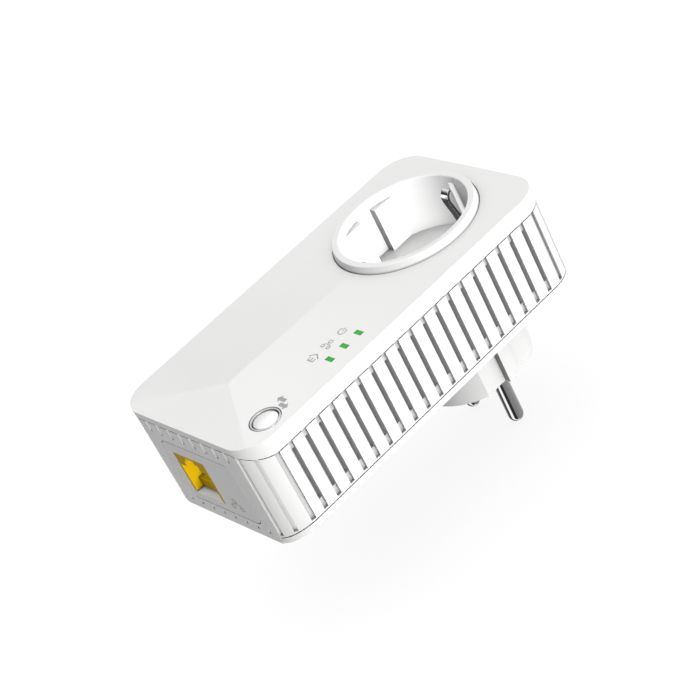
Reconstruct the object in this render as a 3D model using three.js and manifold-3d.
// Pass-through powerline adapter: a mains plug on the wall side, a socket on
// the front, and an Ethernet jack in the lower end.
// Frame, millimetres: the origin is the middle of the plug's flat face, between
// the two pins. +Z points out of the wall towards the user, +Y towards the
// socket end, so the Ethernet end faces -Y. The pins point along -Z.
import * as THREE from 'three';
import { mergeVertices } from 'three/addons/utils/BufferGeometryUtils.js';
import Module from 'manifold-3d';

const wasm = await Module();
wasm.setup();

// ---------------------------------------------------------------- shared dimensions
// Outline, seen from the front
const HALF_WIDTH = 30.04;
const Y_NEAR = -89.55;         // Ethernet end
const Y_FAR = 27.35;           // socket end
const CORNER_RADIUS = 9.5;
const CORNER_SEGMENTS = 10;

// Heights above the plug face
const Z_REAR = 18.2;           // flat back of the housing
const Z_BEVEL = 20.4;          // top of the rear bevel along the long sides
const Z_LOW = 22.52;           // parting line rear cover / frame, long sides
const Z_LOW_END = 20.1;        // the same line at the Ethernet end
const Z_UP = 46.74;            // parting line frame / front cover, long sides
const Z_UP_END = 49.88;        // the same line at the Ethernet end
const GAP = 0.3;               // opening at both parting lines

const FRAME_WALL = 2.6;
const SCREWS = [[22.4, -81.4], [-22.4, -81.4], [22.4, 19.7], [-22.4, 19.7]];
const SCREW_SHANK_RADIUS = 0.9;

// Socket and plug, both centred on the Z axis
const RIM_BASE_RADIUS = 22.1;  // the ring widens towards the front face
const PLUG_RADIUS = 18.4;
const PIN_X = 9.5;

// Front controls
const BUTTON_X = 23.0;
const BUTTON_Y = -76.85;
const BUTTON = [BUTTON_X, BUTTON_Y];
const BUTTON_HOLE_RADIUS = 4.7;
const LED_X = 23.15;
const LED_Y = { power: -41.1, network: -46.7, home: -52.3 };

const CENTRE = [0, 0];
const SIDES = [1, -1];

// ---------------------------------------------------------------- tools
// Ranges are [low, high] pairs
const around = (middle, half) => [middle - half, middle + half];
// a range drawn on the positive side, mirrored for side -1
const onSide = (side, near, far) => (side > 0 ? [near, far] : [-far, -near]);

const join = (...bodies) => bodies.reduce((a, b) => a.add(b));
const cut = (body, ...tools) => tools.reduce((a, b) => a.subtract(b), body);

// welds a geometry's vertices, drops collapsed triangles and makes a solid of it
function solid(geometry) {
  geometry.deleteAttribute('normal');
  geometry.deleteAttribute('uv');
  const welded = mergeVertices(geometry, 1e-4);
  const index = welded.index.array;
  const kept = [];
  for (let i = 0; i < index.length; i += 3) {
    const [a, b, c] = index.slice(i, i + 3);
    if (a !== b && b !== c && c !== a) kept.push(a, b, c);
  }
  return new wasm.Manifold(new wasm.Mesh({
    numProp: 3,
    vertProperties: new Float32Array(welded.attributes.position.array),
    triVerts: new Uint32Array(kept),
  }));
}

function fromTriangles(triangles) {
  const geometry = new THREE.BufferGeometry();
  const positions = new Float32Array(triangles.flat(2));
  geometry.setAttribute('position', new THREE.BufferAttribute(positions, 3));
  return solid(geometry);
}

const quad = (a, b, c, d) => [[a, b, c], [a, c, d]];

function box([x0, x1], [y0, y1], [z0, z1]) {
  const geometry = new THREE.BoxGeometry(x1 - x0, y1 - y0, z1 - z0);
  return solid(geometry.translate((x0 + x1) / 2, (y0 + y1) / 2, (z0 + z1) / 2));
}

// upright cylinder
function cylinder(radius, [z0, z1], [x, y], segments) {
  const geometry = new THREE.CylinderGeometry(radius, radius, z1 - z0, segments);
  return solid(geometry.rotateX(Math.PI / 2).translate(x, y, (z0 + z1) / 2));
}

// profile: [radius, z] pairs running upwards on the outside, ending on the axis
// or on the first point
function lathe(profile, [x, y], segments) {
  const points = profile.map(([radius, z]) => new THREE.Vector2(radius, z));
  const geometry = new THREE.LatheGeometry(points, segments);
  return solid(geometry.rotateX(Math.PI / 2).translate(x, y, 0));
}

const shapeOf = (points) => new THREE.Shape(points.map(([a, b]) => new THREE.Vector2(a, b)));
const extrude = (points, [start, end]) => new THREE.ExtrudeGeometry(
  shapeOf(points), { depth: end - start, bevelEnabled: false });

// extrusions along Z, X and Y of profiles drawn in (x, y), (y, z) and (x, z)
const prism = (points, range) => solid(extrude(points, range).translate(0, 0, range[0]));
const prismX = (points, range) => solid(
  extrude(points, range).rotateX(Math.PI / 2).rotateZ(Math.PI / 2).translate(range[0], 0, 0));
const prismY = (points, range) => solid(
  extrude(points, range).rotateX(Math.PI / 2).translate(0, range[1], 0));

// a (y, z) profile extruded along X, together with its mirror image in y = 0
const mirroredPrismX = (points, range) => join(
  prismX(points, range), prismX(points.map(([y, z]) => [-y, z]), range));

// round bar with the given number of sides, swept along a curve
function sweep(radius, sides, curve, steps) {
  const section = [];
  for (let i = 0; i < sides; i++) {
    const angle = i / sides * Math.PI * 2;
    section.push([radius * Math.cos(angle), radius * Math.sin(angle)]);
  }
  const options = { steps, extrudePath: curve, bevelEnabled: false };
  return solid(new THREE.ExtrudeGeometry(shapeOf(section), options));
}

// the four arcs of a rounded rectangle, anticlockwise; visit(cx, cy, angle) makes each point
function cornerPoints([a0, a1], [b0, b1], radius, segments, visit) {
  const corners = [
    [a1 - radius, b0 + radius, -90],
    [a1 - radius, b1 - radius, 0],
    [a0 + radius, b1 - radius, 90],
    [a0 + radius, b0 + radius, 180],
  ];
  const points = [];
  for (const [cx, cy, start] of corners) {
    for (let i = 0; i <= segments; i++) {
      points.push(visit(cx, cy, (start + 90 * i / segments) * Math.PI / 180));
    }
  }
  return points;
}

const roundRect = (rangeA, rangeB, radius, segments = 4) => cornerPoints(
  rangeA, rangeB, radius, segments,
  (cx, cy, angle) => [cx + radius * Math.cos(angle), cy + radius * Math.sin(angle)]);

// the housing's outline moved inwards by inset, with its outward normals nx, ny
function outline(inset) {
  const radius = CORNER_RADIUS - inset;
  return cornerPoints(
    around(0, HALF_WIDTH), [Y_NEAR, Y_FAR], CORNER_RADIUS, CORNER_SEGMENTS,
    (cx, cy, angle) => {
      const nx = Math.cos(angle);
      const ny = Math.sin(angle);
      return { x: cx + radius * nx, y: cy + radius * ny, nx, ny };
    });
}
const outlinePrism = (inset, range) => prism(outline(inset).map((p) => [p.x, p.y]), range);

// 0 along the long sides and the socket end, 1 at the Ethernet end
function endBlend({ nx, ny }) {
  return ny >= 0 ? 0 : 0.5 * ny * ny + 0.5 * (1 - Math.abs(nx));
}
const zLow = (p) => Z_LOW + (Z_LOW_END - Z_LOW) * endBlend(p);
const zUp = (p) => Z_UP + (Z_UP_END - Z_UP) * endBlend(p);
const zBevel = (p) => Z_BEVEL + (Z_REAR - Z_BEVEL) * endBlend(p);

// outline as [x, y, z] points; height(p) gives z
const ringAt = (inset, height) => outline(inset).map((p) => [p.x, p.y, height(p)]);

// closed body through rings of equal length, bottom ring first
function loft(rings) {
  const triangles = [];
  const count = rings[0].length;
  for (let k = 0; k + 1 < rings.length; k++) {
    for (let i = 0; i < count; i++) {
      const j = (i + 1) % count;
      triangles.push(...quad(rings[k][i], rings[k][j], rings[k + 1][j], rings[k + 1][i]));
    }
  }
  for (const [ring, facesUp] of [[rings[0], false], [rings[rings.length - 1], true]]) {
    const flat = ring.map(([x, y]) => new THREE.Vector2(x, y));
    for (const [a, b, c] of THREE.ShapeUtils.triangulateShape(flat, [])) {
      triangles.push(facesUp ? [ring[a], ring[b], ring[c]] : [ring[a], ring[c], ring[b]]);
    }
  }
  return fromTriangles(triangles);
}

// band between two outlines; bottom(p) and top(p) give its heights
function ringBody(outerInset, innerInset, bottom, top) {
  const outerLow = ringAt(outerInset, bottom);
  const outerHigh = ringAt(outerInset, top);
  const innerLow = ringAt(innerInset, bottom);
  const innerHigh = ringAt(innerInset, top);
  const triangles = [];
  for (let i = 0; i < outerLow.length; i++) {
    const j = (i + 1) % outerLow.length;
    triangles.push(
      ...quad(outerLow[i], outerLow[j], outerHigh[j], outerHigh[i]),
      ...quad(innerLow[j], innerLow[i], innerHigh[i], innerHigh[j]),
      ...quad(outerHigh[i], outerHigh[j], innerHigh[j], innerHigh[i]),
      ...quad(innerLow[i], innerLow[j], outerLow[j], outerLow[i]),
    );
  }
  return fromTriangles(triangles);
}

const group = new THREE.Group();
function add(name, body, material) {
  const data = body.getMesh();
  const geometry = new THREE.BufferGeometry();
  const positions = new Float32Array(data.vertProperties);
  geometry.setAttribute('position', new THREE.BufferAttribute(positions, 3));
  geometry.setIndex(new THREE.BufferAttribute(new Uint32Array(data.triVerts), 1));
  const mesh = new THREE.Mesh(geometry, material);
  mesh.name = name;
  group.add(mesh);
}

// ---------------------------------------------------------------- materials
const plastic = ({ color, roughness }) => new THREE.MeshStandardMaterial({
  color, roughness, metalness: 0,
});
const metal = ({ color, roughness }) => new THREE.MeshStandardMaterial({
  color, roughness, metalness: 1,
});
const WHITE = plastic({ color: 0xf4f4f2, roughness: 0.35 });
const WHITE_INNER = plastic({ color: 0xe6e6e2, roughness: 0.5 });
const GREY = plastic({ color: 0xb9bab6, roughness: 0.5 });
const YELLOW = plastic({ color: 0xf0c010, roughness: 0.4 });
const BOARD_GREEN = plastic({ color: 0x1f6b3a, roughness: 0.5 });
const BLACK = plastic({ color: 0x1b1c1e, roughness: 0.5 });
const LENS = plastic({ color: 0x2fae4a, roughness: 0.3 });
const LED = plastic({ color: 0xe9f2d8, roughness: 0.4 });
const AMBER = plastic({ color: 0xe3b23c, roughness: 0.4 });
const BLUE = plastic({ color: 0x2b57a5, roughness: 0.4 });
const RED = plastic({ color: 0xa23324, roughness: 0.45 });
const FUSE = plastic({ color: 0xe6e2d4, roughness: 0.4 });
const WIRE_BROWN = plastic({ color: 0x6b3d1e, roughness: 0.5 });
const WIRE_BLUE = plastic({ color: 0x2a55b8, roughness: 0.5 });
const LABEL = plastic({ color: 0xd8d9d6, roughness: 0.6 });
const SHEET = plastic({ color: 0xcfd0cc, roughness: 0.6 });
const BUTTON_CAP = plastic({ color: 0xe4e5e6, roughness: 0.22 });
const CHROME = metal({ color: 0xd9dcde, roughness: 0.12 });
const BRASS = metal({ color: 0xc9a44c, roughness: 0.3 });
const GOLD = metal({ color: 0xe0b64a, roughness: 0.25 });
const STEEL = metal({ color: 0xb8bcc0, roughness: 0.3 });
const ALUMINIUM = metal({ color: 0xc2c6ca, roughness: 0.35 });

// ---------------------------------------------------------------- front cover
const Z_CREASE = 52.16;        // edge of the front face
const Z_RIDGE = 53.01;         // ridge of the front face
const Z_RIDGE_FAR = 52.32;
const Y_VERTEX = -70.7;        // where ridge and hips meet
const Y_RIDGE_FLAT = -21.0;    // from here on the ridge is level
const RIDGE_STEPS = 10;
const COVER_WALL = 2;
const COVER_CUT = [40, 60];    // Z range of cutters through the front face

function ridgeHeight(y) {
  const along = Math.min(1, Math.max(0, (y - Y_VERTEX) / (Y_RIDGE_FLAT - Y_VERTEX)));
  return Z_RIDGE + (Z_RIDGE_FAR - Z_RIDGE) * along;
}

// The front face is a shallow roof: a ridge along x = 0 that is highest at the
// vertex and sinks towards the socket, with hips from the vertex to the two
// corners of the Ethernet end. drop lowers the whole face.
function roof(drop) {
  const halfSpan = 40;
  const zBase = 30;
  const stations = [-100, Y_VERTEX];
  for (let i = 1; i <= RIDGE_STEPS; i++) {
    stations.push(Y_VERTEX + (Y_RIDGE_FLAT - Y_VERTEX) * i / RIDGE_STEPS);
  }
  stations.push(40);
  const rows = stations.map((y) => {
    const zRidge = ridgeHeight(y);
    const zEdge = zRidge + (Z_CREASE - zRidge) * halfSpan / HALF_WIDTH;
    return [
      [-halfSpan, y, zBase],
      [halfSpan, y, zBase],
      [halfSpan, y, zEdge - drop],
      [0, y, zRidge - drop],
      [-halfSpan, y, zEdge - drop],
    ];
  });
  const triangles = [];
  for (let k = 0; k + 1 < rows.length; k++) {
    for (let i = 0; i < 5; i++) {
      const j = (i + 1) % 5;
      triangles.push(...quad(rows[k][j], rows[k][i], rows[k + 1][i], rows[k + 1][j]));
    }
  }
  const first = rows[0];
  const last = rows[rows.length - 1];
  for (let i = 1; i < 4; i++) {
    triangles.push([first[0], first[i], first[i + 1]], [last[0], last[i + 1], last[i]]);
  }
  // the end facet between the two hips
  const slope = (Z_RIDGE - Z_CREASE) / (Y_VERTEX - Y_NEAR);
  const zFacet = (y) => Z_RIDGE - drop + slope * (y - Y_VERTEX);
  const facet = [[-100, 20], [45, 20], [45, zFacet(45)], [-100, zFacet(-100)]];
  return fromTriangles(triangles).intersect(prismX(facet, [-50, 50]));
}

function frontCover() {
  let cover = cut(
    outlinePrism(0, COVER_CUT).intersect(roof(0)),
    outlinePrism(COVER_WALL, [30, 60]).intersect(roof(COVER_WALL)),
    ringBody(-2, 2.2, () => 35, (p) => zUp(p) + GAP / 2),
  );
  for (const place of SCREWS) {
    cover = cover.add(cylinder(2.6, [25.4, 51.2], place, 16))
      .subtract(cylinder(SCREW_SHANK_RADIUS + 0.05, [20, 40], place, 12));
  }
  cover = cover.subtract(cylinder(RIM_BASE_RADIUS + 0.2, COVER_CUT, CENTRE, 64));
  // boss, recess and bore for the pairing button
  cover = cut(
    cover.add(cylinder(BUTTON_HOLE_RADIUS + 1.0, [47.6, 51.3], BUTTON, 40)),
    cylinder(BUTTON_HOLE_RADIUS, [49.6, 60], BUTTON, 40),
    cylinder(3.0, COVER_CUT, BUTTON, 32),
  );
  const windows = Object.values(LED_Y).map(
    (y) => box(around(LED_X, 1.25), around(y, 0.65), COVER_CUT));
  return cut(cover, ...windows);
}
add('front_cover', frontCover(), WHITE);

// ---------------------------------------------------------------- side frame
const PITCH = 5.113;           // of the grooves
const Y_GROOVE0 = -81.35;      // the side grooves are counted from here
const SIDE_GROOVES = 19;
const END_GROOVES = 8;
const GROOVE_WIDTH = 1.5;
const GROOVE_DEPTH = 1.0;
const CORNER_GROOVE_WIDTH = 1.4;
const SHORT_GROOVE_DEPTH = 0.9;
const Z_GROOVE = 23.11;        // lower end of the grooves
const SLOT_Z = [26.1, 44.0];   // through slots in the side grooves

// opening for the port panel
const PLATE_X = 16.74;
const PLATE_Z0 = 22.69;
const PLATE_Z1 = 44.03;
const PLATE_CORNER = 3;

// [y of the corner's centre, direction in degrees on the +X side]
const CORNER_GROOVES = [
  ...[-10, -45, -74].map((degrees) => [Y_NEAR + CORNER_RADIUS, degrees]),
  ...[14, 45, 75].map((degrees) => [Y_FAR - CORNER_RADIUS, degrees]),
];

function cornerGroove(side, centreY, degrees) {
  const angle = degrees * Math.PI / 180;
  const width = Math.abs(degrees) > 30 ? CORNER_GROOVE_WIDTH : GROOVE_WIDTH;
  const zStart = Z_GROOVE - 2.4 * endBlend({ nx: Math.cos(angle), ny: Math.sin(angle) });
  const start = CORNER_RADIUS - GROOVE_DEPTH;
  return box([start, start + 6], around(0, width / 2), [zStart, zStart + 50])
    .rotate([0, 0, side > 0 ? degrees : 180 - degrees])
    .translate([side * (HALF_WIDTH - CORNER_RADIUS), centreY, 0]);
}

function sideFrame() {
  const lip = ringBody(2.3, 3.4, (p) => zUp(p) - 3, (p) => Math.min(zUp(p) + 1.6, 49.8));
  let frame = join(
    ringBody(0, FRAME_WALL, (p) => zLow(p) + GAP / 2, (p) => zUp(p) - GAP / 2),
    // lip inside the cover's skirt
    lip.subtract(cylinder(BUTTON_HOLE_RADIUS + 1.4, [40, 60], BUTTON, 32)),
    // the end wall runs down to the back between the corner grooves
    box(around(0, 22.2), [Y_NEAR, Y_NEAR + FRAME_WALL], [Z_REAR, 24])
      .intersect(outlinePrism(0, [10, 30])),
  );
  for (const side of SIDES) {
    for (let k = 1; k <= SIDE_GROOVES; k++) {
      const y = Y_GROOVE0 + k * PITCH;
      const width = [y - GROOVE_WIDTH, y];
      frame = cut(
        frame,
        box(onSide(side, HALF_WIDTH - GROOVE_DEPTH, HALF_WIDTH + 2), width, [Z_GROOVE, 60]),
        box(onSide(side, HALF_WIDTH - 4, HALF_WIDTH + 2), width, SLOT_Z),
      );
    }
    frame = cut(frame, ...CORNER_GROOVES.map(([y, degrees]) => cornerGroove(side, y, degrees)));
  }
  const shortDepth = [Y_NEAR - 2, Y_NEAR + SHORT_GROOVE_DEPTH];
  for (let j = 0; j < END_GROOVES; j++) {
    const x = (j - (END_GROOVES - 1) / 2) * PITCH;
    frame = cut(
      frame,
      // short grooves above and below the port panel
      box(around(x, 0.6), shortDepth, [46.16, 60]),
      box(around(x, 0.6), shortDepth, [20.5, 21.5]),
      // full grooves on the socket end
      box(around(x, GROOVE_WIDTH / 2), [Y_FAR - GROOVE_DEPTH, Y_FAR + 2], [Z_GROOVE, 60]),
    );
  }
  const opening = roundRect(around(0, PLATE_X), [PLATE_Z0, PLATE_Z1], PLATE_CORNER);
  return frame.subtract(prismY(opening, [Y_NEAR - 2, Y_NEAR + 4]));
}
add('side_frame', sideFrame(), WHITE);

// ---------------------------------------------------------------- rear cover
const BEVEL = 3.5;

// a shallow tray, bevelled along the long sides and the socket end
function rearCover() {
  const backFace = outline(0).map((p) => {
    const bevel = BEVEL * (1 - endBlend(p));
    return [p.x - bevel * p.nx, p.y - bevel * p.ny, Z_REAR];
  });
  let cover = loft([
    backFace,
    ringAt(0, (p) => Math.max(zBevel(p), Z_REAR + 0.05)),
    ringAt(0, () => 25),
  ]);
  cover = cut(
    cover,
    ringBody(-2, 4.2, (p) => zLow(p) - GAP / 2, () => 40),
    loft([
      ringAt(5.6, () => Z_REAR + 2),
      ringAt(2.6, () => Z_REAR + 4.2),
      ringAt(2, () => 40),
    ]),
  );
  // locating lip inside the frame
  const lip = ringBody(
    FRAME_WALL + 0.3, FRAME_WALL + 1.5, () => Z_REAR + 1.5, () => Z_REAR + 6);
  // room for the frame's end wall and the port panel
  cover = cut(
    cover.add(lip),
    box(around(0, 22.5), [Y_NEAR - 2, Y_NEAR + FRAME_WALL + 0.3], [10, 40]),
    box(around(0, 22.5), [Y_NEAR - 2, Y_NEAR + 4.8], [22.2, 40]),
  );
  // screw posts with a counterbore from the back
  for (const place of SCREWS) {
    cover = cut(
      cover.add(cylinder(3.9, [Z_REAR + 0.5, Z_REAR + 6.9], place, 20)),
      cylinder(3.0, [10, Z_REAR + 5.4], place, 20),
      cylinder(1.5, [10, 30], place, 14),
    );
  }
  return cut(
    cover,
    cylinder(PLUG_RADIUS + 0.3, [10, 40], CENTRE, 64),
    // shallow field for the rating label
    box([-17, 17], [-72, -30], [10, Z_REAR + 0.4]),
  );
}
add('rear_cover', rearCover(), WHITE);

const labelOutline = roundRect([-16.6, 16.6], [-71.6, -30.4], 1.2, 3);
add('rating_label', prism(labelOutline, [Z_REAR + 0.05, Z_REAR + 0.3]), LABEL);

// cross-slotted head towards the wall, plain shank without thread
function coverScrew([x, y]) {
  const z = 21.0;              // outer face of the head
  const shank = SCREW_SHANK_RADIUS;
  const profile = [
    [0, z], [2.2, z], [2.6, z + 0.4], [2.6, z + 2.3], [shank, z + 2.5],
    [shank, z + 14.4], [0.6, z + 15.3], [0, z + 15.3],
  ];
  const slotZ = [10, z + 1];
  return cut(
    lathe(profile, [x, y], 16),
    box(around(x, 1.5), around(y, 0.3), slotZ),
    box(around(x, 0.3), around(y, 1.5), slotZ),
  );
}
SCREWS.forEach((place, i) => add('cover_screw_' + (i + 1), coverScrew(place), STEEL));

// ---------------------------------------------------------------- socket
const WELL_RADIUS = 19.5;
const RIM_RADIUS = 21.6;
const Z_RIM = 54.5;
const Z_FLOOR = 36.9;
const CHORD_X = 16.7;          // faces of the guide blocks in the well
const CHANNEL = 2.75;          // half width of the channel between them

function socketWell() {
  const wall = [
    [WELL_RADIUS, Z_FLOOR - 2], [RIM_BASE_RADIUS, Z_FLOOR - 2],
    [RIM_BASE_RADIUS, 52.0], [RIM_BASE_RADIUS - 0.2, 53.0],
    [RIM_RADIUS + 0.04, 54.2], [RIM_RADIUS - 0.05, 54.4], [RIM_RADIUS - 0.2, Z_RIM],
    [WELL_RADIUS + 0.2, Z_RIM], [WELL_RADIUS, 54.3], [WELL_RADIUS, Z_FLOOR - 2],
  ];
  let well = join(
    lathe(wall, CENTRE, 64),
    cylinder(RIM_RADIUS - 0.5, [Z_FLOOR - 2, Z_FLOOR], CENTRE, 64),
  );
  for (const sideX of SIDES) {
    for (const sideY of SIDES) {
      const block = box(
        onSide(sideX, CHORD_X, 20.5), onSide(sideY, CHANNEL, 10.6), [Z_FLOOR - 1, 51.5]);
      well = well.add(block.intersect(cylinder(WELL_RADIUS + 0.6, [30, 60], CENTRE, 64)));
    }
    well = well.subtract(cylinder(2.75, [30, 40], [sideX * PIN_X, 0], 28));
  }
  for (const side of SIDES) {
    well = cut(
      well,
      // slot in the wall that lets the earth arm flex
      box(around(0, 1.45), onSide(side, 18.5, 21.1), [Z_FLOOR + 1.2, 52.1]),
      // the arm's slot in the floor
      box(around(0, 1.9), onSide(side, 16.2, 18.5), [30, Z_FLOOR + 1]),
    );
  }
  return well;
}
add('socket_well', socketWell(), WHITE);

// earth bow: one strip under the floor, its two arms standing in the well
const BOW_THICKNESS = 0.85;
const BOW_X = around(0, 1.5);
const BOW_ARM = [              // inner face of the +Y arm, [y, z]
  [16.9, 30.4], [16.9, 37.5], [16.35, 42.5], [15.15, 48.2],
  [15.1, 49.4], [15.5, 50.7], [16.3, 51.6], [17.0, 51.9],
];
function earthBow() {
  const outerFace = BOW_ARM.map(([y, z], i) => {
    const before = BOW_ARM[Math.max(0, i - 1)];
    const after = BOW_ARM[Math.min(BOW_ARM.length - 1, i + 1)];
    const dy = after[0] - before[0];
    const dz = after[1] - before[1];
    const length = Math.hypot(dy, dz);
    return [y + BOW_THICKNESS * dz / length, z - BOW_THICKNESS * dy / length];
  });
  return join(
    box(BOW_X, [-17.4, 17.4], [29.8, 30.6]),
    mirroredPrismX([...BOW_ARM, ...outerFace.reverse()], BOW_X),
  );
}
add('earth_bow', earthBow(), CHROME);

// split contact sleeve with a closed base, under each pin hole
function socketSleeve(side) {
  const x = side * PIN_X;
  const profile = [
    [2.55, 22.5], [3.15, 22.5], [3.15, 29], [3.35, 30.4],
    [2.75, 30.4], [2.55, 29], [2.55, 22.5],
  ];
  return lathe(profile, [x, 0], 24)
    .subtract(box(around(x, 0.35), [-5, 5], [24.5, 40]))
    .add(cylinder(3.15, [21.7, 22.6], [x, 0], 24));
}
add('socket_sleeve_left', socketSleeve(-1), BRASS);
add('socket_sleeve_right', socketSleeve(1), BRASS);

// child-safety shutter under the floor, sliding along Y, and the tray it runs in
const SHUTTER_TRAVEL = 5.6;
const SHUTTER_Y1 = 3.2;
const SHUTTER_HOLE = 2.9;      // half width of its openings

function safetyShutter() {
  const ramp = [[-2.9, 35], [-2.9, 32.6], [1.2, 34.3], [1.2, 35]];
  let shutter = box([-13.6, 13.6], [-9.6, SHUTTER_Y1], [32.26, 34.2]);
  for (const side of SIDES) {
    const holeX = around(side * PIN_X, SHUTTER_HOLE);
    // opening, and the ramp that an entering pin pushes aside
    shutter = cut(shutter, box(holeX, [-8.4, -2.8], [30, 40]), prismX(ramp, holeX));
  }
  return shutter;
}
add('safety_shutter', safetyShutter(), GREY);

function shutterGuide() {
  const yStop = SHUTTER_Y1 + SHUTTER_TRAVEL;
  return cut(
    box([-15.6, 15.6], [-11.6, yStop + 2.0], [31.0, 34.55]),
    box([-13.66, 13.66], [-9.9, yStop + 0.3], [32.2, 40]),
    ...SIDES.map((side) => cylinder(3.65, [20, 40], [side * PIN_X, 0], 28)),
  );
}
add('shutter_guide', shutterGuide(), WHITE_INNER);

// ---------------------------------------------------------------- plug
const PIN_RADIUS = 2.4;
const PIN_LENGTH = 19;         // in front of the plug face
const FLAT_X = 15.85;          // flats on the plug
const RIB_Y = 2.1;             // half width of the guide rib on each flat
const PLUG_TOP = 20.6;

function plugOutline() {
  const flatAngle = Math.acos(FLAT_X / PLUG_RADIUS);
  const ribX = Math.sqrt(PLUG_RADIUS ** 2 - RIB_Y ** 2) - 0.1;
  const arc = (start, end, steps = 24) => Array.from({ length: steps + 1 }, (_, i) => {
    const angle = start + (end - start) * i / steps;
    return [PLUG_RADIUS * Math.cos(angle), PLUG_RADIUS * Math.sin(angle)];
  });
  return [
    [FLAT_X, RIB_Y],
    ...arc(flatAngle, Math.PI - flatAngle),
    [-FLAT_X, RIB_Y], [-ribX, RIB_Y], [-ribX, -RIB_Y], [-FLAT_X, -RIB_Y],
    ...arc(Math.PI + flatAngle, 2 * Math.PI - flatAngle),
    [FLAT_X, -RIB_Y], [ribX, -RIB_Y], [ribX, RIB_Y],
  ];
}

function plugBody() {
  const recessX = around(0, 2.6);
  const bridgeZ = [14.2, 17.6];
  let plug = join(
    prism(plugOutline(), [0, PLUG_TOP]),
    // full disc that fills the round hole of the rear cover beside the flats
    cylinder(PLUG_RADIUS, [Z_REAR + 0.15, PLUG_TOP], CENTRE, 64),
    // flange inside the rear cover
    cylinder(20.4, [20.5, 22.3], CENTRE, 48),
  ).subtract(cylinder(13.4, [3.4, 30], CENTRE, 32));
  for (const side of SIDES) {
    const place = [side * PIN_X, 0];
    plug = cut(
      plug.add(cylinder(4.15, [2, 16], place, 20)),
      cylinder(2.65, [-1, 30], place, 24),
      // the earth strip runs down a recess on each end
      box(recessX, onSide(side, 17.1, 20), [-1, 17.6]),
      box(recessX, onSide(side, 15.3, 17.3), bridgeZ),
    );
  }
  return plug.subtract(box(recessX, [-15.4, 15.4], bridgeZ));
}
add('plug_body', plugBody(), WHITE);

// rounded tip, shank, collar and tail, [radius, z]
const PIN_PROFILE = [
  [0, -PIN_LENGTH], [1.0, -PIN_LENGTH + 0.2], [1.75, -PIN_LENGTH + 0.75],
  [2.2, -PIN_LENGTH + 1.5], [PIN_RADIUS, -PIN_LENGTH + 2.4], [PIN_RADIUS, 16.3],
  [3.4, 16.3], [3.4, 17.8], [1.4, 17.8], [1.4, 19.8], [0, 19.8],
];
add('plug_pin_left', lathe(PIN_PROFILE, [-PIN_X, 0], 24), CHROME);
add('plug_pin_right', lathe(PIN_PROFILE, [PIN_X, 0], 24), CHROME);

// earth strips of the plug, joined by a bridge inside
function plugEarthStrip() {
  const stripX = around(0, 2.3);
  const profile = [
    [17.35, 0.8], [18.15, 1.6], [18.15, 16.6], [15.2, 16.6], [15.2, 15.8], [17.35, 15.8],
  ];
  return join(box(stripX, [-15.4, 15.4], [15.8, 16.6]), mirroredPrismX(profile, stripX))
    .subtract(cylinder(1.2, [10, 20], CENTRE, 16));
}
add('plug_earth_strip', plugEarthStrip(), CHROME);

// bus bar: a pad over the pin's tail, stepping up and running towards -Y to a tab
function busBar(side) {
  const x = side * PIN_X;
  const padX = around(x, 2.6);
  const barX = around(x, 2.0);
  return join(
    box(padX, [-2.6, 2.6], [20.2, 21.3]),
    box(barX, [-4.8, -2.4], [20.2, 21.3]),
    box(barX, [-4.8, -3.7], [20.2, 23.7]),
    box(barX, [-19.2, -4.0], [22.6, 23.7]),
    box(barX, [-19.2, -18.1], [22.6, 27.0]),
  );
}
add('bus_bar_live', busBar(1), BRASS);
add('bus_bar_neutral', busBar(-1), BRASS);
add('earth_post', cylinder(1.9, [17.0, 29.4], CENTRE, 16), BRASS);

// ---------------------------------------------------------------- Ethernet end
// window in the port panel
const WINDOW_X0 = -12.95;
const WINDOW_X1 = 1.53;
const WINDOW_Z0 = 25.57;
const WINDOW_Z1 = 40.28;

function portPanel() {
  const plate = roundRect(
    around(0, PLATE_X - 0.25), [PLATE_Z0 + 0.25, PLATE_Z1 - 0.25], PLATE_CORNER - 0.25);
  return join(
    prismY(plate, [Y_NEAR, Y_NEAR + 2.2]),
    // step and flange that hook behind the frame wall
    box(around(0, PLATE_X - 1), [Y_NEAR + 2.0, Y_NEAR + 3.0], [PLATE_Z0 + 1, PLATE_Z1 - 1]),
    box(around(0, PLATE_X + 1.6), [Y_NEAR + 2.9, Y_NEAR + 4.4], [PLATE_Z0 + 3, PLATE_Z1 - 3]),
  ).subtract(box([WINDOW_X0, WINDOW_X1], [Y_NEAR - 2, Y_NEAR + 6], [WINDOW_Z0, WINDOW_Z1]));
}
add('port_panel', portPanel(), WHITE);

const JACK_WALL = 0.9;
const JACK_STEP = 29.1;        // raised floor that carries the contacts
const JACK_TOP = 36.1;
const JACK_X0 = WINDOW_X0 + 0.2;
const JACK_X1 = WINDOW_X1 - 0.2;
const JACK_Z0 = WINDOW_Z0 + 0.3;
const JACK_BACK = Y_NEAR + 15.6;
const JACK_MIDDLE = (JACK_X0 + JACK_X1) / 2;
const CONTACT_X = Array.from({ length: 8 }, (_, i) => JACK_MIDDLE + (i - 3.5) * 1.02);

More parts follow.
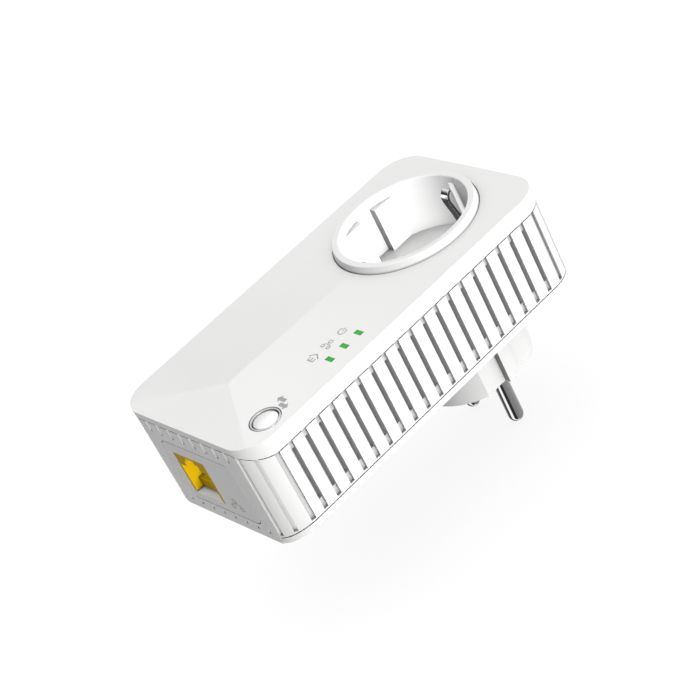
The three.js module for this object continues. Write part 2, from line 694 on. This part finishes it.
function jack() {
  const mouthX = [JACK_X0 + JACK_WALL, JACK_X1 - JACK_WALL];
  const yOut = Y_NEAR - 2;
  return cut(
    box([JACK_X0, JACK_X1], [Y_NEAR + 0.02, JACK_BACK], [JACK_Z0, WINDOW_Z1 - 0.15]),
    // mouth, open down to the panel's sill, and the cavity above the step
    box(mouthX, [yOut, Y_NEAR + 2.3], [JACK_Z0 - 2, JACK_TOP]),
    box(mouthX, [yOut, JACK_BACK - 1.6], [JACK_STEP, JACK_TOP]),
    // keyway for the latch of the plug, in two steps
    box(around(JACK_MIDDLE, 3.2), [yOut, Y_NEAR + 9], [JACK_TOP - 1, JACK_TOP + 2.0]),
    box(around(JACK_MIDDLE, 1.9), [yOut, Y_NEAR + 9], [JACK_TOP, JACK_TOP + 3.4]),
    // grooves in the step for the contacts
    ...CONTACT_X.map((x) => box(
      around(x, 0.32), [Y_NEAR + 3.4, JACK_BACK + 2], [JACK_STEP - 0.9, JACK_STEP + 0.1])),
  );
}
add('rj45_jack', jack(), YELLOW);

// contact strip along the step, bent down behind the housing
function jackContact(x) {
  const thickness = 0.32;
  const z = JACK_STEP - 0.5;
  const yBend = JACK_BACK + 0.4;
  const profile = [
    [Y_NEAR + 4.0, z], [JACK_BACK - 2.4, z], [yBend, z], [yBend, 26.6],
    [yBend + thickness, 26.6], [yBend + thickness, z + thickness],
    [JACK_BACK - 2.4, z + thickness], [JACK_BACK - 3.4, z + 0.75],
    [Y_NEAR + 7.0, z + 0.75], [Y_NEAR + 4.0, z + thickness],
  ];
  return prismX(profile, around(x, 0.2));
}
CONTACT_X.forEach((x, i) => add('jack_contact_' + (i + 1), jackContact(x), GOLD));

// ---------------------------------------------------------------- electronics
const Z_BOARD = 24.6;          // underside of the power board
const Z_PARTS = Z_BOARD + 1.9; // underside of the parts on it
const Z_FRONT_PARTS = 44.3;    // top of the parts under the front board

add('power_board', box([-24.2, 24.2], [-72.2, -23.2], [Z_BOARD, Z_BOARD + 1.6]), BOARD_GREEN);

// the front board clears the two screw posts at the Ethernet end
const frontBoard = cut(
  box([-24.2, 25.4], [-81, -36], [44.6, 46.0]),
  ...SCREWS.slice(0, 2).map((place) => cylinder(3.1, [40, 50], place, 16)),
);
add('front_board', frontBoard, BOARD_GREEN);
add('header_connector', box([-16, -4], [-40.2, -37.6], [Z_PARTS, Z_FRONT_PARTS]), BLACK);
add('modem_chip', box([-8, 6], [-62, -48], [43.0, Z_FRONT_PARTS]), BLACK);

// plate under the chip, with fins pointing towards the wall
function heatSink() {
  const sinkX = [-10.5, 8.5];
  let sink = box(sinkX, [-64.5, -45.5], [40.9, 42.7]);
  for (let i = 0; i < 6; i++) {
    sink = sink.add(box(sinkX, [-64.0 + i * 3.4, -62.7 + i * 3.4], [35.4, 41.2]));
  }
  return sink;
}
add('heat_sink', heatSink(), ALUMINIUM);

// one potted block, notched across both ends
const transformer = cut(
  box([-22.4, -8.4], [-68.5, -53.5], [Z_PARTS, 33.8]),
  ...[[-69.5, -66.5], [-55.5, -52.5]].map(
    (notchY) => box([-24, -7], notchY, [Z_BOARD + 5.5, 32.2])),
);
add('mains_transformer', transformer, BLACK);

const COUPLER = [4.6, -40.4];
const coupler = cylinder(4.4, [Z_PARTS, 33.5], COUPLER, 24)
  .subtract(cylinder(1.6, [20, 40], COUPLER, 16));
add('line_coupler', coupler, AMBER);

const CAPACITOR_PROFILE = [    // [radius, z]
  [0, Z_PARTS], [4.8, Z_PARTS], [5.0, Z_BOARD + 2.2], [5.0, 42.2],
  [4.7, 42.6], [3.9, 42.6], [3.7, 42.3], [0, 42.3],
];
add('bulk_capacitor', lathe(CAPACITOR_PROFILE, [18.2, -60.5], 24), BLACK);
add('x_capacitor', box([10.2, 23.4], [-52.5, -46.2], [Z_PARTS, 36.8]), AMBER);

// disc with its axis along Y
const varistor = new THREE.CylinderGeometry(4.6, 4.6, 2.6, 24)
  .translate(-18.5, -30, Z_BOARD + 6.6);
add('varistor', solid(varistor), BLUE);

// barrel with its axis along X
const fuse = new THREE.CylinderGeometry(2.0, 2.0, 15, 16)
  .rotateZ(Math.PI / 2)
  .translate(13.0, -31.0, Z_BOARD + 4.1);
add('fuse', solid(fuse), FUSE);
add('lan_magnetics', box([-12.5, 1.4], [-72.0, -69.6], [29.8, 40.6]), BLACK);

// lead from a bus bar to the power board; rows are [distance outwards from the pin, y, z]
const LEAD_PATH = [
  [0, -19.9, 25.6], [0, -21.6, 27.6], [1.5, -24.2, 29.0], [3, -26.0, 28.0], [3, -26.4, 26.5],
];
function lead(side) {
  const points = LEAD_PATH.map(([out, y, z]) => new THREE.Vector3(side * (PIN_X + out), y, z));
  return sweep(0.6, 8, new THREE.CatmullRomCurve3(points), 16);
}
add('lead_live', lead(1), WIRE_BROWN);
add('lead_neutral', lead(-1), WIRE_BLUE);

// insulation sheets behind the ventilation slots; the left one has a small window
const SHEET_Y = [-78.5, 17.5];
const leftSheet = box([-26.1, -25.6], SHEET_Y, [25.4, 46.0])
  .subtract(box([-27, -25], [-60, -58], [40, 41]));
add('insulation_sheet_left', leftSheet, SHEET);
add('insulation_sheet_right', box([25.7, 26.2], SHEET_Y, [25.4, 44.2]), SHEET);

// ---------------------------------------------------------------- controls
const Z_CAP = 50.3;            // underside of the button's cap
const CAP_RADIUS = 3.72;
const STEM_RADIUS = 2.93;

// domed cap on a stem that runs in the cover's bore
const BUTTON_PROFILE = [
  [0, 48.4], [STEM_RADIUS, 48.4], [STEM_RADIUS, Z_CAP],
  [CAP_RADIUS, Z_CAP], [CAP_RADIUS, Z_CAP + 1.45], [CAP_RADIUS - 0.1, Z_CAP + 1.7],
  [CAP_RADIUS - 0.35, Z_CAP + 1.92], [2.7, Z_CAP + 2.2], [1.9, Z_CAP + 2.42],
  [0.95, Z_CAP + 2.56], [0, Z_CAP + 2.6],
];
add('pair_button', lathe(BUTTON_PROFILE, BUTTON, 40), BUTTON_CAP);

// bright ring round the button, with a rounded front edge
function buttonBezel() {
  const inner = 3.96;
  const outer = 4.46;
  const middle = (inner + outer) / 2;
  const half = (outer - inner) / 2;
  const zBase = 49.9;
  const zTop = 52.2;
  const profile = [[inner, zBase], [outer, zBase], [outer, zTop]];
  for (let i = 1; i < 6; i++) {
    const angle = Math.PI * i / 6;
    profile.push([middle + half * Math.cos(angle), zTop + 0.22 * Math.sin(angle)]);
  }
  profile.push([inner, zTop], [inner, zBase]);
  return lathe(profile, BUTTON, 56);
}
add('button_bezel', buttonBezel(), CHROME);

// push switch on the front board, its plunger, and the spring round it
const pairSwitch = box(around(BUTTON_X, 1.5), around(BUTTON_Y, 1.5), [46.25, 47.3])
  .subtract(cylinder(1.0, [46.6, 50], BUTTON, 24));
add('pair_switch', pairSwitch, BLACK);
add('switch_plunger', cylinder(0.93, [47.15, 48.2], BUTTON, 24), RED);

const SPRING = { turns: 4.5, radius: 2.44, wire: 0.12, zStart: 46.3, height: 1.85 };
class SpringCurve extends THREE.Curve {
  getPoint(t, target = new THREE.Vector3()) {
    const angle = t * Math.PI * 2 * SPRING.turns;
    return target.set(
      BUTTON_X + SPRING.radius * Math.cos(angle),
      BUTTON_Y + SPRING.radius * Math.sin(angle),
      SPRING.zStart + SPRING.height * t,
    );
  }
}
add('button_spring', sweep(SPRING.wire, 5, new SpringCurve(), 72), STEEL);

// each indicator: a flanged lens in its window, and the LED under it
for (const [name, y] of Object.entries(LED_Y)) {
  const lens = join(
    box(around(LED_X, 1.17), around(y, 0.57), [48.2, 52.20]),
    box(around(LED_X, 1.9), around(y, 1.3), [48.2, 49.6]),
  );
  add('indicator_lens_' + name, lens, LENS);
  add('indicator_led_' + name, box(around(LED_X, 1.0), around(y, 0.7), [46.3, 47.2]), LED);
}

export default group;
